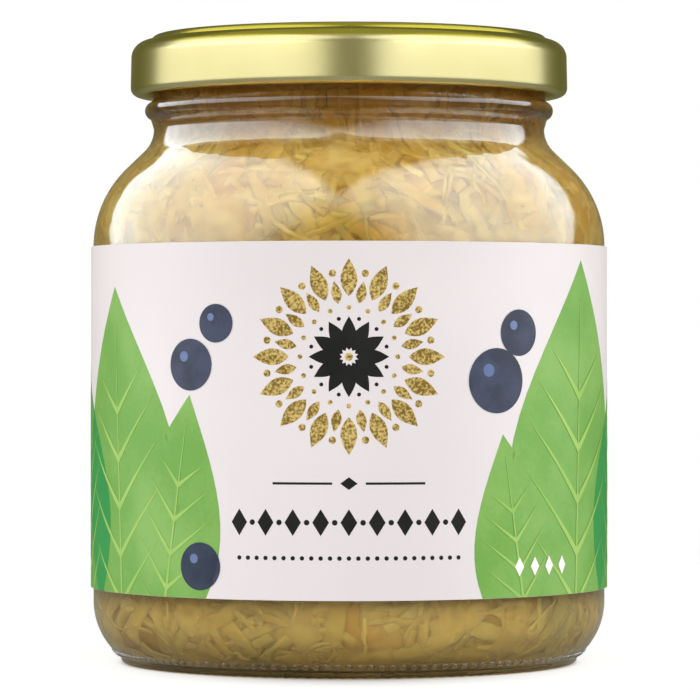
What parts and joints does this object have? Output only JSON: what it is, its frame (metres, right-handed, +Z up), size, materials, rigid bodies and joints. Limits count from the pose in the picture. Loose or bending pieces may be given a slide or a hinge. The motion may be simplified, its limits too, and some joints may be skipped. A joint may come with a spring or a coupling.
{
  "type": "sauerkraut jar",
  "caption": "Glass jar packed with shredded sauerkraut, closed by a gold twist-off lid, with a plain leaf-patterned paper label round its straight body.",
  "frame": {"origin": "middle of the base, on the surface that the jar stands on", "axes": "+Z up along the jar's axis, -Y towards the front of the label"},
  "size_m": [0.0816, 0.0815, 0.0987],
  "materials": {
    "glass": "clear, polished, with a very slight green tint in the thick base",
    "lid": "gold-lacquered tinplate, satin gloss",
    "paper": "warm white coated paper, matt",
    "kraut": "wet, translucent straw-coloured shreds",
    "brine": "clear pale yellow liquid",
    "leaf_green": "flat printed green with soft washes",
    "leaf_overlap": "flat printed deeper green where leaves overlap",
    "berry": "flat printed slate blue",
    "foil": "hot-stamped gold foil, finely speckled",
    "ink": "flat printed black"
  },
  "bodies": {
    "root": {"jar": "glass", "lid": "lid", "label": "paper", "kraut": "kraut"}
  },
  "joints": []
}
